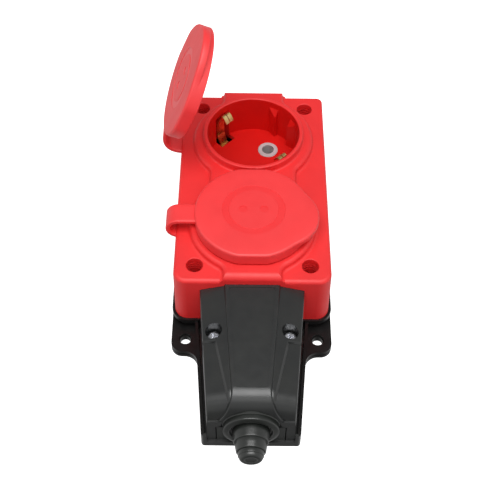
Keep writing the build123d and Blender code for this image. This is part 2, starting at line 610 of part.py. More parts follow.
def cable_gland():
    def ring(y0, y1, r0, r1):
        tube = Cone(r1, r0, y0 - y1) if r0 != r1 else Cylinder(r0, y0 - y1)
        return Pos(0, (y0 + y1) / 2, GLAND_Z) * Rot(-90, 0, 0) * tube

    arch = Pos(0, GLAND_Z) * Circle(GLAND_ARCH_R)
    foot_z = TRAY_FLOOR_T + 0.1
    slot = Pos(0, (foot_z + GLAND_Z) / 2) * Rectangle(2 * GLAND_PLATE_HALF_W, GLAND_Z - foot_z)
    plate_plane = Plane(origin=(0, COVER_FRONT_Y + COVER_WALL, 0), x_dir=(1, 0, 0), z_dir=(0, -1, 0))
    below = Pos(0, foot_z - 5) * Rectangle(60, 10)
    plate = extrude(plate_plane * ((arch + slot) - below), amount=COVER_WALL)
    flange_end = GLAND_STEPS[0][0]
    flange = ring(COVER_FRONT_Y, flange_end, GLAND_FLANGE_R, GLAND_FLANGE_R)
    flange = fillet(flange.faces().sort_by(Axis.Y)[0].edges(), 1.2)
    gland = plate + flange
    ends = [step[0] for step in GLAND_STEPS[1:]] + [GLAND_TIP_Y]
    for (start, r0, r1), stop in zip(GLAND_STEPS, ends):
        gland += ring(start, stop, r0, r1)
    tip = gland.faces().sort_by(Axis.Y)[0]
    gland = fillet(tip.edges(), 1.6)
    bore = Pos(0, (COVER_FRONT_Y + COVER_WALL + GLAND_TIP_Y + 2) / 2 + 1, GLAND_Z) * Rot(-90, 0, 0)
    length = COVER_FRONT_Y + COVER_WALL - GLAND_TIP_Y
    return gland - bore * Cone(2.6, 5.4, length)


def cable_clamp_bar():
    y = CLAMP_POST[1]
    bar = box(-14.4, 14.4, y - 3, y + 3, CLAMP_POST_Z, CLAMP_TOP_Z)
    bar = fillet(bar.edges().filter_by(Axis.Z), 2.5)
    bar -= Pos(0, y, GLAND_Z) * Rot(90, 0, 0) * Cylinder(4.3, 10)
    for side in (-1, 1):
        bar -= cylinder(side * CLAMP_POST[0], y, 10, 30, 1.6)
    return bar


# ---------------------------------------------------------------- fasteners


def pan_screw(x, y, seat_z, length, shank_r, head_r, head_h):
    """A pan-head screw with a cross recess, its head resting on seat_z and its shank pointing down."""
    head = cylinder(x, y, seat_z, seat_z + head_h, head_r)
    head = fillet(head.faces().sort_by(Axis.Z)[-1].edges(), head_h * 0.45)
    recess = Box(head_r * 1.15, head_r * 0.24, 1.4)
    for turn in (20, 110):
        head -= Pos(x, y, seat_z + head_h - 0.5) * Rot(0, 0, turn) * recess
    return head + cylinder(x, y, seat_z - length, seat_z + 0.2, shank_r)


def housing_screws():
    return [
        pan_screw(x, y, SCREW_WELL_Z, 10.4, 1.4, 2.9, 2.2)
        for x in (-SCREW_X, SCREW_X)
        for y in (-SCREW_Y, SCREW_Y)
    ]


def cover_screws():
    x, y = COVER_SCREW
    return [pan_screw(side * x, y, COVER_SCREW_SEAT_Z, 16.0, 1.4, 2.9, 2.2) for side in (-1, 1)]


def clamp_screws():
    x, y = CLAMP_POST
    return [pan_screw(side * x, y, CLAMP_TOP_Z, 14.0, 1.25, 2.6, 1.8) for side in (-1, 1)]


def carrier_screws():
    screws = []
    for yc in SOCKETS.values():
        for x in (-CARRIER_SCREW_X, CARRIER_SCREW_X):
            screw = pan_screw(0, 0, 0, 9.6, 1.35, 2.6, 1.8)
            screws.append(Pos(x, yc, CARRIER_Z0) * Rot(180, 0, 0) * screw)
    return screws


# ---------------------------------------------------------------- live parts


def pin_bushings(yc):
    """Insulating sleeves in the pin holes: a collar in the floor and a tube down to the contact."""
    shoulder_z = FLOOR_UNDER_Z - 0.3
    rings = []
    for x, y in pin_places(yc):
        ring = cylinder(x, y, shoulder_z, WELL_FLOOR_Z + 0.35, BUSHING_R - 0.02)
        ring = chamfer(ring.faces().sort_by(Axis.Z)[-1].edges(), 0.25)
        ring += cylinder(x, y, CONTACT_Z1 + 0.1, shoulder_z, CONTACT_R)
        rings.append(ring - cylinder(x, y, 0, 40, BUSHING_BORE_R))
    return rings


def contact(place, side):
    """A slotted brass sleeve that grips a plug pin, with a lug for its busbar."""
    x, y = place
    sleeve = cylinder(x, y, CONTACT_Z0, CONTACT_Z1, CONTACT_R) + cylinder(x, y, 8.0, 8.9, 3.9)
    lug_x = side * BUSBAR_X
    low_x, high_x = sorted((lug_x - side * 0.9, lug_x))
    sleeve += box(low_x, high_x, y - 1.5, y + 1.5, *BUSBAR_Z)
    sleeve -= cylinder(x, y, CONTACT_Z0 - 1, 30, CONTACT_BORE_R)
    return sleeve - box(x - 0.35, x + 0.35, y - 5, y, CONTACT_Z0 - 1, 7.6)


def contact_carrier(yc):
    """The moulded block under a socket's floor that holds its contacts and clamps the earth clip."""
    body = cylinder(0, yc, CARRIER_Z0, FLOOR_UNDER_Z, CARRIER_R)
    body = chamfer(body.faces().sort_by(Axis.Z)[0].edges(), 1.0)
    for x, y in pin_places(yc):
        body -= cylinder(x, y, 0, 30, CONTACT_R + 0.1)
        body -= cylinder(x, y, FLOOR_UNDER_Z - 0.7, 30, BUSHING_R)
    for x in (-CARRIER_SCREW_X, CARRIER_SCREW_X):
        body -= cylinder(x, yc, 0, 30, 1.6) + cylinder(x, yc, BOSS_FOOT_Z - 0.1, 30, BOSS_R + 0.15)
    channel = Pos(0, yc, FLOOR_UNDER_Z - 0.6) * Rot(0, 0, EARTH_DEG[0]) * Box(50, 5.2, 1.22)
    return body - channel - cylinder(0, yc, 0, 30, 1.8)


def earth_clip(yc):
    """A U-shaped spring: a bar under the socket's floor, two arms, and split noses hooked into the well."""
    mid_z = FLOOR_UNDER_Z - 1.1 + CLIP_T / 2
    (arm_r, arm_z), *hook, tip = CLIP_PROFILE
    foot = Polyline((0, 0, mid_z), (arm_r - 2.0, 0, mid_z), (arm_r, 0, arm_z))
    bar = Plane(origin=(0, 0, mid_z), x_dir=(0, 1, 0), z_dir=(1, 0, 0)) * Rectangle(CLIP_W, CLIP_T)
    half = sweep(bar, path=foot, transition=Transition.RIGHT)
    points = [(r, 0, z) for r, z in ((arm_r, arm_z), *hook, tip)]
    curl = Spline(*points, tangents=[(0, 0, 1), (-0.6, 0, -1)])
    strip = Plane(origin=points[0], x_dir=(0, 1, 0), z_dir=(0, 0, 1)) * Rectangle(CLIP_W, CLIP_T)
    half += sweep(strip, path=curl)
    half -= box(tip[0] - 1, arm_r - 2.0, -0.2, 0.2, tip[1] - 1, COLLAR_Z)
    both = half + Rot(0, 0, 180) * half
    return Pos(0, yc, 0) * Rot(0, 0, EARTH_DEG[0]) * both


def pole_busbar(side):
    """A brass strip on edge that joins the contacts of one pole and runs into its terminal clamp."""
    places = [pin_places(yc)[0 if side > 0 else 1] for yc in SOCKETS.values()]
    far = max(y for _, y in places) + 2.0
    x0, x1 = sorted((side * BUSBAR_X, side * (BUSBAR_X + BUSBAR_T)))
    return box(x0, x1, -45.0, far, *BUSBAR_Z)


def earth_busbar():
    bar = box(-2, 2, -45.0, SOCKETS["rear"] + 3, 7.0, 7.8)
    for yc in SOCKETS.values():
        bar += cylinder(0, yc, 7.4, FLOOR_UNDER_Z - 1.1, 1.6)
    return bar


def terminal_block():
    y0, y1 = TERMINAL_Y
    block = box(-15.4, 15.4, y0, y1, TRAY_FLOOR_T, 11.8)
    block = fillet(block.edges().filter_by(Axis.Z), 1.0)
    for n in (-1, 0, 1):
        x = n * TERMINAL_PITCH
        block -= box(x - 3.1, x + 3.1, -46.8, -41.2, TRAY_FLOOR_T + 0.2, 10.0)
        block -= cylinder(x, -44, 9, 13, 1.7)
        block -= box(x - 2.2, x + 2.2, y0 - 1, y1 + 1, 3.0, 8.2)
    return block


def terminal_clamps():
    clamps = []
    for n in (-1, 0, 1):
        x = n * TERMINAL_PITCH
        clamp = box(x - 3.0, x + 3.0, -46.6, -41.4, TRAY_FLOOR_T + 0.25, 9.9)
        clamp -= box(x - 2.3, x + 2.3, -50, -38, 3.05, 8.3)
        clamps.append(clamp - cylinder(x, -44, 8, 12, 1.5))
    return clamps


def terminal_screws():
    tips = {-1: BUSBAR_Z[1] + 0.1, 0: 7.9, 1: BUSBAR_Z[1] + 0.1}
    screws = []
    for n, tip in tips.items():
        x = n * TERMINAL_PITCH
        screw = cylinder(x, -44, tip, 11.2, 1.45)
        slot = Pos(x, -44, 11.2) * Rot(0, 0, 30) * Box(4, 0.5, 1.2)
        screws.append(screw - slot)
    return screws


# ---------------------------------------------------------------- assembly


def sub_parts():
    parts = {
        "base_tray": base_tray(),
        "housing_gasket": housing_gasket(),
        "upper_housing": upper_housing(),
        "cable_cover": cable_cover(),
        "cover_seal": cover_seal(),
        "cable_gland": cable_gland(),
        "cable_clamp_bar": cable_clamp_bar(),
        "housing_screws": housing_screws(),
        "cover_screws": cover_screws(),
        "clamp_screws": clamp_screws(),
        "carrier_screws": carrier_screws(),
        "line_busbar": pole_busbar(1),
        "neutral_busbar": pole_busbar(-1),
        "earth_busbar": earth_busbar(),
        "terminal_block": terminal_block(),
        "terminal_clamps": terminal_clamps(),
        "terminal_screws": terminal_screws(),
    }
    opening = {"front": 0.0, "rear": REAR_LID_OPEN}
    for name, yc in SOCKETS.items():
        line, neutral = pin_places(yc)
        parts[f"{name}_contact_carrier"] = contact_carrier(yc)
        parts[f"{name}_pin_bushings"] = pin_bushings(yc)
        parts[f"{name}_line_contact"] = contact(line, 1)
        parts[f"{name}_neutral_contact"] = contact(neutral, -1)
        parts[f"{name}_earth_clip"] = earth_clip(yc)
        parts[f"{name}_lid_strap"] = strap(yc, opening[name])
        parts[f"{name}_lid"] = lid_pose(opening[name]) * lid(yc)
        parts[f"{name}_lid_seal"] = lid_pose(opening[name]) * lid_seal(yc)
    return parts


os.makedirs("parts", exist_ok=True)
for node, shape in sub_parts().items():
    solids = shape if isinstance(shape, list) else shape.solids()
    whole = Compound(children=[s.solid() for s in solids]) if len(solids) > 1 else solids[0].solid()
    export_step(whole, f"parts/{node}.step")
    print(node, len(solids), round(whole.volume, 1))
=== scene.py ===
import json
import math

import bmesh
import bpy
from mathutils import Matrix, Vector


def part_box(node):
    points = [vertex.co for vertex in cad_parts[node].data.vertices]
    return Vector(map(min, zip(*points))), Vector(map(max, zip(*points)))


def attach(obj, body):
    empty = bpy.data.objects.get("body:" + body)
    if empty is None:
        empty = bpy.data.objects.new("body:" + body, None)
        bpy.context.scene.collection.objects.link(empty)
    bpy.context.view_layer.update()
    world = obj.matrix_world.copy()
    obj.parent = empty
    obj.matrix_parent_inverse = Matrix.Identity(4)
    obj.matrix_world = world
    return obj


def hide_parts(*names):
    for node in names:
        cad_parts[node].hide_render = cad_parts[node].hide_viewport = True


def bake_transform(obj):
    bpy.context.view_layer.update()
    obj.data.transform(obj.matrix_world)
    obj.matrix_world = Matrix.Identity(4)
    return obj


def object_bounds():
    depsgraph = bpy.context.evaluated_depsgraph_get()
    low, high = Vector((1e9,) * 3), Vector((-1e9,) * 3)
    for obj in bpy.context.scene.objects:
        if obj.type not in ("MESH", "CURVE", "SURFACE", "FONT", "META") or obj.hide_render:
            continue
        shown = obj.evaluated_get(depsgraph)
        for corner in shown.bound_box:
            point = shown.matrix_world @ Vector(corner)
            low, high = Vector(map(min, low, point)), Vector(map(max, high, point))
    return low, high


# A two-gang splash-proof socket box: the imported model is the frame, and this script gives every piece its
# finish and rebuilds the soft rubber pieces (lids, hinge straps, cable gland) as detailed meshes.
# Lengths in the helpers are millimetres, turned into metres when a mesh is made.

MM = 0.001
SHARP_ANGLE = math.radians(38.0)

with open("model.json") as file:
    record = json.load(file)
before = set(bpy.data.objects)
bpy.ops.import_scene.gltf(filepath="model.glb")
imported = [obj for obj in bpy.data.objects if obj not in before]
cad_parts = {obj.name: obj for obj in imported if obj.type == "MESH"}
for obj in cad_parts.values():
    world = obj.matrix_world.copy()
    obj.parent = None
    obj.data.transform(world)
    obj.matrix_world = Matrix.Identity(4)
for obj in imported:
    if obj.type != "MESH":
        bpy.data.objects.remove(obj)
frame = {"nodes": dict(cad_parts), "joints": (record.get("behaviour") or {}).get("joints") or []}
cad_low, cad_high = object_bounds()
nodes = frame["nodes"]
joints = {joint["name"]: joint for joint in frame["joints"]}


# ---------------------------------------------------------------- materials

# The texture values at which roughness and colour reach the two ends of their range.
ROUGHNESS_ENDS = (0.3, 0.7)
COLOUR_ENDS = (0.35, 0.65)


class Finish:
    """A procedural material: one principled shader and the textures that feed it, in object space."""

    def __init__(self, name, metallic=0.0, specular=0.5):
        self.material = bpy.data.materials.new(name)
        self.material.use_nodes = True
        self.tree = self.material.node_tree
        self.shader = self.tree.nodes["Principled BSDF"]
        self.shader.inputs["Metallic"].default_value = metallic
        self.shader.inputs["Specular IOR Level"].default_value = specular
        self.place = self.tree.nodes.new("ShaderNodeTexCoord")
        self.last_bump = None

    def noise(self, scale, detail=3.0, stretch=(1.0, 1.0, 1.0)):
        """Noise with so many features per metre, stretched along the axes where asked."""
        mapping = self.tree.nodes.new("ShaderNodeMapping")
        mapping.inputs["Scale"].default_value = stretch
        texture = self.tree.nodes.new("ShaderNodeTexNoise")
        texture.inputs["Scale"].default_value = scale
        texture.inputs["Detail"].default_value = detail
        self.tree.links.new(self.place.outputs["Object"], mapping.inputs["Vector"])
        self.tree.links.new(mapping.outputs["Vector"], texture.inputs["Vector"])
        return texture.outputs["Fac"]

    def cells(self, scale):
        """Rounded cells with so many features per metre, for a spark-eroded grain."""
        texture = self.tree.nodes.new("ShaderNodeTexVoronoi")
        texture.inputs["Scale"].default_value = scale
        self.tree.links.new(self.place.outputs["Object"], texture.inputs["Vector"])
        return texture.outputs["Distance"]

    def spread(self, value, low, high):
        """Maps a texture onto a range of roughness."""
        ramp = self.tree.nodes.new("ShaderNodeMapRange")
        ramp.inputs["From Min"].default_value, ramp.inputs["From Max"].default_value = ROUGHNESS_ENDS
        ramp.inputs["To Min"].default_value, ramp.inputs["To Max"].default_value = low, high
        self.tree.links.new(value, ramp.inputs["Value"])
        self.tree.links.new(ramp.outputs["Result"], self.shader.inputs["Roughness"])

    def colours(self, value, dark, light):
        """Blends two base colours by a texture."""
        ramp = self.tree.nodes.new("ShaderNodeValToRGB")
        ramp.color_ramp.elements[0].position, ramp.color_ramp.elements[1].position = COLOUR_ENDS
        ramp.color_ramp.elements[0].color = (*dark, 1.0)
        ramp.color_ramp.elements[1].color = (*light, 1.0)
        self.tree.links.new(value, ramp.inputs["Fac"])
        self.tree.links.new(ramp.outputs["Color"], self.shader.inputs["Base Color"])

    def bump(self, value, depth_mm, strength):
        """Adds a bump layer of so many millimetres on top of the layers before it."""
        bump = self.tree.nodes.new("ShaderNodeBump")
        bump.inputs["Distance"].default_value = depth_mm * MM
        bump.inputs["Strength"].default_value = strength
        self.tree.links.new(value, bump.inputs["Height"])
        if self.last_bump is not None:
            self.tree.links.new(self.last_bump, bump.inputs["Normal"])
        self.last_bump = bump.outputs["Normal"]
        self.tree.links.new(self.last_bump, self.shader.inputs["Normal"])


def red_finish(name, dark, light, specular, roughness, grain_mm):
    finish = Finish(name, specular=specular)
    finish.colours(finish.noise(60.0, 4.0), dark, light)
    finish.spread(finish.noise(220.0, 5.0), roughness - 0.03, roughness + 0.03)
    finish.bump(finish.noise(45.0, 2.0), 0.03, 0.4)
    finish.bump(finish.cells(2600.0), grain_mm, 0.5)
    return finish.material


def charcoal_finish():
    finish = Finish("charcoal_plastic", specular=0.6)
    finish.colours(finish.noise(80.0, 4.0), (0.014, 0.015, 0.015), (0.018, 0.019, 0.018))
    finish.spread(finish.noise(300.0, 5.0), 0.28, 0.33)
    finish.bump(finish.cells(3000.0), 0.008, 0.4)
    return finish.material


def black_plastic_finish():
    finish = Finish("black_plastic", specular=0.32)
    finish.colours(finish.noise(70.0, 4.0), (0.003, 0.003, 0.003), (0.006, 0.005, 0.005))
    finish.spread(finish.noise(260.0, 5.0), 0.30, 0.42)
    finish.bump(finish.noise(120.0, 3.0), 0.03, 0.5)
    return finish.material


def black_rubber_finish():
    finish = Finish("black_rubber", specular=0.75)
    finish.colours(finish.noise(90.0, 4.0), (0.009, 0.010, 0.009), (0.013, 0.015, 0.013))
    finish.spread(finish.noise(300.0, 5.0), 0.28, 0.36)
    finish.bump(finish.noise(180.0, 3.0), 0.03, 0.5)
    return finish.material


def light_plastic_finish(name, dark, light):
    finish = Finish(name, specular=0.45)
    finish.colours(finish.noise(150.0, 4.0), dark, light)
    finish.spread(finish.noise(400.0, 4.0), 0.42, 0.55)
    finish.bump(finish.cells(2400.0), 0.015, 0.5)
    return finish.material


def brass_finish():
    finish = Finish("brass", metallic=1.0)
    finish.colours(finish.noise(400.0, 5.0), (0.70, 0.46, 0.16), (0.90, 0.66, 0.30))
    finish.spread(finish.noise(900.0, 4.0, (1.0, 1.0, 0.1)), 0.22, 0.38)
    finish.bump(finish.noise(1600.0, 3.0, (1.0, 1.0, 0.08)), 0.012, 0.5)
    return finish.material


def zinc_finish():
    finish = Finish("zinc_steel", metallic=1.0)
    finish.colours(finish.noise(500.0, 5.0), (0.55, 0.56, 0.60), (0.80, 0.81, 0.84))
    finish.spread(finish.noise(1200.0, 4.0), 0.20, 0.38)
    finish.bump(finish.noise(1500.0, 4.0), 0.012, 0.5)
    return finish.material


RED = red_finish("red_shell", (0.71, 0.007, 0.008), (0.77, 0.010, 0.011), 0.8, 0.57, 0.012)
# Painted shade: a darker, less glossy red for the insides of the socket wells.
RED_WELL_SHADE = red_finish("red_well_painted_shade", (0.60, 0.003, 0.0015), (0.65, 0.004, 0.002), 0.35, 0.50, 0.010)
RED_RUBBER = red_finish("red_rubber", (0.75, 0.013, 0.016), (0.81, 0.017, 0.020), 1.0, 0.55, 0.012)
RED_POLISHED = red_finish("red_polished_mark", (0.76, 0.014, 0.017), (0.80, 0.017, 0.020), 1.0, 0.44, 0.002)
CHARCOAL = charcoal_finish()
BLACK = black_plastic_finish()
RUBBER = black_rubber_finish()
GREY = light_plastic_finish("grey_plastic", (0.42, 0.40, 0.40), (0.50, 0.48, 0.48))
CREAM = light_plastic_finish("cream_plastic", (0.70, 0.66, 0.55), (0.80, 0.76, 0.66))
BRASS = brass_finish()
ZINC = zinc_finish()

NODE_FINISH = {
    "upper_housing": RED,
    "base_tray": BLACK,
    "cable_cover": CHARCOAL,
    "housing_gasket": RUBBER,
    "cover_seal": RUBBER,
    "cable_clamp_bar": CREAM,
    "terminal_block": CREAM,
    "housing_screws": ZINC,
    "cover_screws": ZINC,
    "clamp_screws": ZINC,
    "carrier_screws": ZINC,
    "terminal_screws": ZINC,
    "terminal_clamps": ZINC,
    "line_busbar": BRASS,
    "neutral_busbar": BRASS,
    "earth_busbar": BRASS,
}
for end in ("front", "rear"):
    NODE_FINISH[end + "_contact_carrier"] = CREAM
    NODE_FINISH[end + "_pin_bushings"] = GREY
    NODE_FINISH[end + "_line_contact"] = BRASS
    NODE_FINISH[end + "_neutral_contact"] = BRASS
    NODE_FINISH[end + "_earth_clip"] = BRASS
    NODE_FINISH[end + "_lid_seal"] = RUBBER

for name, finish in NODE_FINISH.items():
    nodes[name].data.materials.clear()
    nodes[name].data.materials.append(finish)

# Where the painted shade of the socket wells goes: inside this radius, between the well floor and the brim.
WELL_R = 20.1
WELL_FLOOR_Z = 21.9
WELL_BRIM_Z = 39.9


def paint_well_shade():
    """Paints shade into the two socket wells: the faces inside the collars get a darker, less glossy red as
    painted shade.
    """
    shell = nodes["upper_housing"]
    shell.data.materials.append(RED_WELL_SHADE)
    centres = [joints[end + "_lid_hinge"]["pos_m"][1] / MM for end in ("front", "rear")]
    for face in shell.data.polygons:
        x, y, z = shell.matrix_world @ face.center / MM
        near = min(math.hypot(x, y - centre) for centre in centres)
        if near < WELL_R and WELL_FLOOR_Z - 0.2 < z < WELL_BRIM_Z:
            face.material_index = 1


paint_well_shade()

# The tray faces in front of this line are painted paler, as a painted highlight.
TROUGH_FRONT_Y = -103.1


def paint_trough_front_highlight():
    """Gives the trough's front wall the paler charcoal of the cover above it, as a painted highlight for
    the light that falls on its front face.
    """
    tray = nodes["base_tray"]
    tray.data.materials.append(CHARCOAL)
    for face in tray.data.polygons:
        rear_edge = max((tray.matrix_world @ tray.data.vertices[i].co).y / MM for i in face.vertices)
        if rear_edge < TROUGH_FRONT_Y:
            face.material_index = 1


paint_trough_front_highlight()


# ---------------------------------------------------------------- mesh helpers


def make_object(name, mesh_data, finishes):
    """Turns a bmesh in millimetres into a smooth-shaded object with sharp edges kept."""
    bmesh.ops.scale(mesh_data, vec=(MM, MM, MM), verts=mesh_data.verts)
    bmesh.ops.recalc_face_normals(mesh_data, faces=mesh_data.faces)
    mesh = bpy.data.meshes.new(name)
    mesh_data.to_mesh(mesh)
    mesh_data.free()
    mesh.shade_smooth()
    mesh.set_sharp_from_angle(angle=SHARP_ANGLE)
    for finish in finishes:
        mesh.materials.append(finish)
    piece = bpy.data.objects.new(name, mesh)
    bpy.context.scene.collection.objects.link(piece)
    return piece


def skin(mesh_data, rings):
    """Quads between closed rings of equal count; each end is capped by a fan to its middle."""
    loops = [[mesh_data.verts.new(point) for point in ring] for ring in rings]
    count = len(rings[0])
    for low, high in zip(loops, loops[1:]):
        for i in range(count):
            j = (i + 1) % count
            mesh_data.faces.new((low[i], low[j], high[j], high[i]))
    for loop in (loops[0], loops[-1]):
        middle = mesh_data.verts.new(sum((v.co for v in loop), Vector()) / count)
        for i in range(count):
            mesh_data.faces.new((loop[i], loop[(i + 1) % count], middle))


# ---------------------------------------------------------------- lids

hinge_x = joints["front_lid_hinge"]["pos_m"][0] / MM
hinge_z = joints["front_lid_hinge"]["pos_m"][2] / MM
rear_opening = -joints["rear_lid_hinge"]["range_deg"][0]
lid_low, lid_high = (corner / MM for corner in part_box("front_lid"))

LID_POINTS = 240
LID_R = -lid_low.x
LID_FLAT = (lid_high.y - lid_low.y) / 2
LID_TOP = lid_high.z
LID_SKIRT = lid_low.z
LID_BORE_R = 21.75
LID_CEILING = LID_TOP - 1.5
LID_EDGE = 1.0
LID_LIP = 0.5
LID_BORE_WALL = 0.62
FLAT_EASE = 0.12
TAB_R = 15.2
TAB_CENTRE = Vector((lid_high.x - TAB_R, -2.0))
TAB_UNDER = LID_TOP - 3.0
TAB_EDGE = 0.55
TAB_SOFTNESS = 0.5
MARK_CENTRE = Vector((0.3, 0.8))
MARK_R = 12.7
MARK_INNER_R = 9.9
MARK_DEPTH = 0.18
MARK_SLOPE = 0.12
DOT_R = 1.7
DOT_X = 4.2


def disc_radius(angle):
    """The round skirt's radius, cut by the two flats, with the corners of the flats eased."""
    flat = LID_FLAT / max(abs(math.sin(angle)), 1e-6)
    share = math.exp(-LID_R / FLAT_EASE) + math.exp(-min(flat, LID_R + 6) / FLAT_EASE)
    return -FLAT_EASE * math.log(share)


def lid_radius(angle):
    """The outline with the finger tab, blended softly into the round part."""
    along = TAB_CENTRE.x * math.cos(angle) + TAB_CENTRE.y * math.sin(angle)
    aside = TAB_CENTRE.x * math.sin(angle) - TAB_CENTRE.y * math.cos(angle)
    tab = along + math.sqrt(max(TAB_R**2 - aside**2, 0.0))
    disc = disc_radius(angle)
    over = (tab - disc) / TAB_SOFTNESS
    return disc + TAB_SOFTNESS * (math.log1p(math.exp(-abs(over))) + max(over, 0.0))


def lid_rings():
    """Closed rings from the middle of the top, over the edge and tab, down the skirt, to the ceiling."""
    angles = [2 * math.pi * i / LID_POINTS for i in range(LID_POINTS)]

    def ring(radius_at, z, shift=0.0):
        x, y = MARK_CENTRE * shift
        return [(x + radius_at(a) * math.cos(a), y + radius_at(a) * math.sin(a), z) for a in angles]

    def tab_radius(angle, inset):
        return max(disc_radius(angle), lid_radius(angle) - inset)

    def bore_radius(angle, inset):
        return min(LID_BORE_R, disc_radius(angle) - LID_BORE_WALL) - inset

    floor = LID_TOP - MARK_DEPTH
    rings = [ring(lambda a, r=r: r, LID_TOP, 1.0) for r in (3.0, 6.0, MARK_INNER_R)]
    rings += [ring(lambda a, r=r: r, floor, 1.0) for r in (MARK_INNER_R + MARK_SLOPE, MARK_R - MARK_SLOPE)]
    rings.append(ring(lambda a: MARK_R, LID_TOP, 1.0))
    for share in (0.35, 0.7):
        rings.append(
            ring(lambda a, s=share: MARK_R + s * (lid_radius(a) - LID_EDGE - MARK_R), LID_TOP, 1 - share)
        )
    for step in range(9):
        turn = math.radians(90 * step / 8)
        inset = LID_EDGE * (1 - math.sin(turn))
        rings.append(ring(lambda a, d=inset: lid_radius(a) - d, LID_TOP - LID_EDGE * (1 - math.cos(turn))))
    for inset, rise in ((0.0, 0.55), (0.08, 0.28), (0.26, 0.09), (TAB_EDGE, 0.02)):
        rings.append(ring(lambda a, d=inset: tab_radius(a, d), TAB_UNDER + rise))
    for grow, drop in ((0.3, 0.0), (0.09, 0.09), (0.0, 0.35)):
        rings.append(
            ring(lambda a, g=grow: min(disc_radius(a) + g, tab_radius(a, TAB_EDGE)), TAB_UNDER - drop)
        )
    for step in range(6):
        turn = math.radians(90 * step / 5)
        inset = LID_LIP * (1 - math.cos(turn))
        rise = LID_LIP * (1 - math.sin(turn))
        rings.append(ring(lambda a, d=inset: disc_radius(a) - d, LID_SKIRT + rise))
    for inset, rise in ((0.25, 0.0), (0.07, 0.07), (0.0, 0.25)):
        rings.append(
            ring(lambda a, d=inset: min(LID_BORE_R + d, disc_radius(a) - LID_LIP - 0.02), LID_SKIRT + rise)
        )
    for inset, drop in ((0.0, 0.6), (0.18, 0.18), (0.6, 0.0), (8.0, 0.0), (16.0, 0.0)):
        rings.append(ring(lambda a, d=inset: bore_radius(a, d), LID_CEILING - drop))
    return rings


def cut_dots(piece):
    """Sinks the two round dots of the socket symbol into the lid's top."""
    dots = bmesh.new()
    for side in (-1, 1):
        x, y = MARK_CENTRE + Vector((side * DOT_X, 0.0))
        turns = [2 * math.pi * i / 48 for i in range(48)]
        rings = [
            [(x + DOT_R * math.cos(turn), y + DOT_R * math.sin(turn), z) for turn in turns]
            for z in (LID_TOP - MARK_DEPTH, LID_TOP + 1.0)
        ]
        skin(dots, rings)
    cutter = make_object("dot_cutter", dots, [RED_POLISHED])
    cut = piece.modifiers.new("dots", "BOOLEAN")
    cut.object = cutter
    cut.operation = "DIFFERENCE"
    cut.solver = "EXACT"
    cut.material_mode = "TRANSFER"
    done = bpy.data.meshes.new_from_object(piece.evaluated_get(bpy.context.evaluated_depsgraph_get()))
    piece.modifiers.clear()
    done.set_sharp_from_angle(angle=SHARP_ANGLE)
    piece.data = done
    bpy.data.objects.remove(cutter)


def opened(piece, yc, degrees):
    """Moves a piece made round the origin to its socket and swings it open about the hinge line."""
    hinge = Vector((hinge_x, 0, hinge_z)) * MM
    turn = Matrix.Rotation(math.radians(-degrees), 4, "Y")
    swing = Matrix.Translation(hinge) @ turn @ Matrix.Translation(-hinge)
    piece.data.transform(Matrix.Translation((0, yc * MM, 0)) @ swing)


def build_lid(end, opening):
    mesh_data = bmesh.new()
    skin(mesh_data, lid_rings())
    for face in mesh_data.faces:
        middle = face.calc_center_median()
        if MARK_INNER_R < (middle.xy - MARK_CENTRE).length < MARK_R and middle.z > LID_TOP - 0.5:
            face.material_index = 1
    bmesh.ops.remove_doubles(mesh_data, verts=mesh_data.verts, dist=0.003)
    piece = make_object(end + "_lid_moulding", mesh_data, [RED_RUBBER, RED_POLISHED])
    cut_dots(piece)
    opened(piece, joints[end + "_lid_hinge"]["pos_m"][1] / MM, opening)
    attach(piece, end + "_lid_body")
    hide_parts(end + "_lid")


# ---------------------------------------------------------------- hinge straps

STRAP_W = 9.2
STRAP_T = 1.8
STRAP_ROUND = 0.55
LOOP_R = 4.4
LOOP_X = -29.75
LOOP_TOP = 40.6
TAIL_X = -28.6
BOW = 9.0
BAND_CORNER_STEPS = 4
BAND_FLAT_STEPS = 6


def band_section():
    """A rounded rectangle as (across, up) pairs, with its long sides divided so that it bends well."""
    half_w, half_t = STRAP_W / 2 - STRAP_ROUND, STRAP_T / 2 - STRAP_ROUND
    points = []
    corners = ((half_w, half_t), (-half_w, half_t), (-half_w, -half_t), (half_w, -half_t))
    for k, (cx, cy) in enumerate(corners):
        for step in range(BAND_CORNER_STEPS + 1):
            turn = math.radians(90 * (k + step / BAND_CORNER_STEPS))
            points.append((cx + STRAP_ROUND * math.cos(turn), cy + STRAP_ROUND * math.sin(turn)))
        if k % 2 == 0:
            direction = -1 if k == 0 else 1
            top = points[-1][1]
            for step in range(1, BAND_FLAT_STEPS):
                points.append((direction * half_w * (2 * step / BAND_FLAT_STEPS - 1), top))
    return points


def bezier(a, b, c, d, count):
    for i in range(1, count + 1):
        t = i / count
        yield a * (1 - t) ** 3 + b * 3 * t * (1 - t) ** 2 + c * 3 * t * t * (1 - t) + d * t**3


def strap_path(opening):
    """The strap's middle line in the x-z plane, from its pocket in the wall to the lid's skirt."""
    foot = Vector((LOOP_X, LOOP_TOP - 2 * LOOP_R))
    path = [Vector((TAIL_X - 0.1, foot.y)), (foot + Vector((TAIL_X, foot.y))) / 2, foot]
    angle = math.radians(opening)
    heading = Vector((math.cos(angle), math.sin(angle)))
    across = Vector((-heading.y, heading.x))
    hinge = Vector((hinge_x, hinge_z))
    skirt = hinge + heading * (-LID_R + 0.9 - hinge_x) + across * (LOOP_TOP - hinge_z)
    if opening == 0:
        for i in range(1, 37):
            turn = math.pi * i / 36
            path.append(Vector((LOOP_X - LOOP_R * math.sin(turn), foot.y + LOOP_R * (1 - math.cos(turn)))))
        start = path[-1]
        path += [start.lerp(skirt, i / 12) for i in range(1, 13)]
    else:
        lid_end = skirt - heading * 1.1
        path += bezier(foot, foot + Vector((-BOW, 0)), lid_end - heading * BOW, lid_end, 44)
        path += [lid_end.lerp(skirt, 0.5), skirt]
    return path


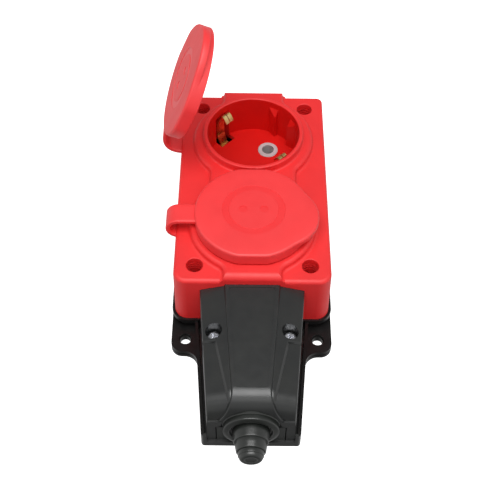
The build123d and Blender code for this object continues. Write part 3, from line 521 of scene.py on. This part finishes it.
def build_strap(end, opening):
    yc = joints[end + "_lid_hinge"]["pos_m"][1] / MM
    path = strap_path(opening)
    section = band_section()
    rings = []
    for i, point in enumerate(path):
        ahead = path[min(i + 1, len(path) - 1)] - path[max(i - 1, 0)]
        up = Vector((ahead.y, -ahead.x)).normalized()
        rings.append([(point.x + up.x * t, yc + w, point.y + up.y * t) for w, t in section])
    mesh_data = bmesh.new()
    skin(mesh_data, rings)
    piece = make_object(end + "_hinge_strap", mesh_data, [RED_RUBBER])
    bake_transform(piece)
    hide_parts(end + "_lid_strap")


# ---------------------------------------------------------------- cable gland

gland_low, gland_high = (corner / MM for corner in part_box("cable_gland"))
GLAND_Z = 13.2
FLANGE_R = 10.6
FLANGE_BACK_Y = -103.2
FLANGE_Y = -105.8
PLATE_HALF_W = gland_high.x
PLATE_ARCH_R = gland_high.z - GLAND_Z
FLANGE_LIP = 0.5
GLAND_STEPS = ((-109.7, 7.1, 6.6), (-113.5, 6.1, 5.6), (gland_low.y, 5.0, 4.5))
GLAND_TURNS = 96


def gland_profile():
    """(distance along the gland, radius) from inside the flange to the middle of the tip."""
    points = [(FLANGE_BACK_Y + 0.6, FLANGE_R - 0.3), (FLANGE_BACK_Y, FLANGE_R)]
    for step in range(7):
        turn = math.radians(80 * step / 6)
        back = FLANGE_LIP * (1 - math.sin(turn))
        points.append((FLANGE_Y + 0.5 + back, FLANGE_R - FLANGE_LIP * (1 - math.cos(turn))))
    points += [(FLANGE_Y, 8.7), (FLANGE_Y + 0.06, 8.4), (FLANGE_Y + 0.3, 8.15), (FLANGE_Y + 1.3, 7.75)]
    points.append((FLANGE_Y + 1.45, 7.3))
    start = FLANGE_Y + 1.3
    for number, (stop, r0, r1) in enumerate(GLAND_STEPS):
        rounding = 1.5 if number == len(GLAND_STEPS) - 1 else 0.55
        points += [(start, r0 - 0.1), (start - 0.3, r0), ((start + stop) / 2, (r0 + r1) / 2)]
        for step in range(7):
            turn = math.radians(90 * step / 6)
            points.append((stop + rounding * (1 - math.sin(turn)), r1 - rounding * (1 - math.cos(turn))))
        if number < len(GLAND_STEPS) - 1:
            points.append((stop + 0.25, GLAND_STEPS[number + 1][1] - 0.25))
        start = stop + 0.1
    points += [(gland_low.y + depth, r) for depth, r in ((0.0, 2.5), (0.12, 2.3), (0.35, 2.15), (0.4, 1.0))]
    return points


def build_gland():
    mesh_data = bmesh.new()
    turns = [2 * math.pi * i / GLAND_TURNS for i in range(GLAND_TURNS)]
    rings = [
        [(radius * math.cos(turn), y, GLAND_Z + radius * math.sin(turn)) for turn in turns]
        for y, radius in gland_profile()
    ]
    skin(mesh_data, rings)
    outline = [(-PLATE_HALF_W, gland_low.z), (PLATE_HALF_W, gland_low.z), (PLATE_HALF_W, GLAND_Z)]
    for i in range(49):
        turn = math.pi * i / 48
        outline.append((PLATE_ARCH_R * math.cos(turn), GLAND_Z + PLATE_ARCH_R * math.sin(turn)))
    outline.append((-PLATE_HALF_W, GLAND_Z))
    centre = Vector((0, GLAND_Z - 3))
    rings = []
    for y, inset in ((FLANGE_BACK_Y + 1.8, 0.0), (FLANGE_BACK_Y + 0.25, 0.0), (FLANGE_BACK_Y, 0.25)):
        ring = []
        for x, z in outline:
            toward = (centre - Vector((x, z))).normalized() * inset
            ring.append((x + toward.x, y, z + toward.y))
        rings.append(ring)
    skin(mesh_data, rings)
    piece = make_object("gland_moulding", mesh_data, [RUBBER])
    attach(piece, "enclosure")
    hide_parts("cable_gland")


build_lid("front", 0.0)
build_lid("rear", rear_opening)
build_strap("front", 0.0)
build_strap("rear", rear_opening)
build_gland()


# ---------------------------------------------------------------- stage, light and camera


LIGHT_TARGET = Vector((0.0, -0.02, 0.02))


def pale_floor():
    mesh = bpy.data.meshes.new("studio_floor")
    half = 3.0
    corners = [(-half, -half, 0), (half, -half, 0), (half, half, 0), (-half, half, 0)]
    mesh.from_pydata(corners, [], [(0, 1, 2, 3)])
    floor = bpy.data.objects.new("studio_floor", mesh)
    floor.location.z = cad_low.z - 0.0002
    bpy.context.scene.collection.objects.link(floor)
    finish = Finish("pale_floor", specular=0.1)
    finish.shader.inputs["Base Color"].default_value = (0.6, 0.6, 0.6, 1.0)
    finish.shader.inputs["Roughness"].default_value = 0.9
    finish.shader.inputs["Emission Color"].default_value = (1.0, 1.0, 1.0, 1.0)
    finish.shader.inputs["Emission Strength"].default_value = 0.95
    mesh.materials.append(finish.material)
    floor.visible_glossy = False
    floor.visible_diffuse = False


def soft_light(name, place, size, watts):
    """A rectangular softbox that faces the object."""
    light = bpy.data.lights.new(name, "AREA")
    light.shape = "RECTANGLE"
    light.size, light.size_y = size
    light.energy = watts
    lamp = bpy.data.objects.new(name, light)
    lamp.location = place
    lamp.rotation_euler = (LIGHT_TARGET - Vector(place)).to_track_quat("-Z", "Y").to_euler()
    bpy.context.scene.collection.objects.link(lamp)


# The direction in which the tent is dimmest.
PATCH_Y = 0.62
PATCH_Z = 0.78


def studio_world():
    """A pale tent, dimmer below in front, and dimmest round the direction (0, PATCH_Y, PATCH_Z)."""
    world = bpy.data.worlds.new("studio")
    bpy.context.scene.world = world
    world.use_nodes = True
    tree = world.node_tree
    place = tree.nodes.new("ShaderNodeTexCoord")
    split = tree.nodes.new("ShaderNodeSeparateXYZ")
    tree.links.new(place.outputs["Generated"], split.inputs["Vector"])

    def ramp(value, start, stop, low, high):
        node = tree.nodes.new("ShaderNodeMapRange")
        node.inputs["From Min"].default_value, node.inputs["From Max"].default_value = start, stop
        node.inputs["To Min"].default_value, node.inputs["To Max"].default_value = low, high
        tree.links.new(value, node.inputs["Value"])
        return node.outputs["Result"]

    def combine(operation, *values):
        node = tree.nodes.new("ShaderNodeMath")
        node.operation = operation
        for value, socket in zip(values, node.inputs):
            tree.links.new(value, socket)
        return node.outputs["Value"]

    sideways = combine("ABSOLUTE", split.outputs["X"])
    aside = ramp(sideways, 0.25, 0.75, 0.18, 0.75)
    behind = ramp(split.outputs["Y"], -0.45, 0.15, 0.18, 0.75)
    below = combine("MAXIMUM", aside, behind)
    lean_y = combine("MULTIPLY", split.outputs["Y"], ramp(split.outputs["Z"], 0.0, 0.01, 0.0, PATCH_Y))
    lean_z = combine("MULTIPLY", split.outputs["Z"], ramp(split.outputs["Z"], 0.0, 0.01, 0.0, PATCH_Z))
    lean = combine("ADD", lean_y, lean_z)
    above = ramp(lean, 0.4, 0.9, 0.64, 0.26)
    share = ramp(split.outputs["Z"], -0.1, 0.15, 0.0, 1.0)
    rest = ramp(split.outputs["Z"], -0.1, 0.15, 1.0, 0.0)
    strength = combine("ADD", combine("MULTIPLY", above, share), combine("MULTIPLY", below, rest))
    tree.links.new(strength, tree.nodes["Background"].inputs["Strength"])
    tree.nodes["Background"].inputs["Color"].default_value = (1.0, 1.0, 1.0, 1.0)


def photo_camera():
    lens = bpy.data.cameras.new("camera")
    lens.lens = 68.0
    lens.sensor_width = 36.0
    lens.clip_start = 0.01
    camera = bpy.data.objects.new("camera", lens)
    camera.location = (-0.00226, -0.26412, 0.33258)
    yaw, pitch, roll = math.radians(-0.312), math.radians(52.63), math.radians(0.841)
    tilt = Matrix.Rotation(math.pi / 2 - pitch, 4, "X")
    turn = Matrix.Rotation(yaw, 4, "Z") @ tilt @ Matrix.Rotation(roll, 4, "Z")
    camera.rotation_euler = turn.to_euler()
    bpy.context.scene.collection.objects.link(camera)
    bpy.context.scene.camera = camera


pale_floor()
studio_world()
soft_light("top_softbox", (0.0, -0.25, 0.95), (0.85, 0.52), 7.9)
soft_light("front_softbox", (0.0, -0.75, 0.72), (0.9, 0.25), 0.9)
photo_camera()
bpy.context.scene.view_settings.view_transform = "Standard"
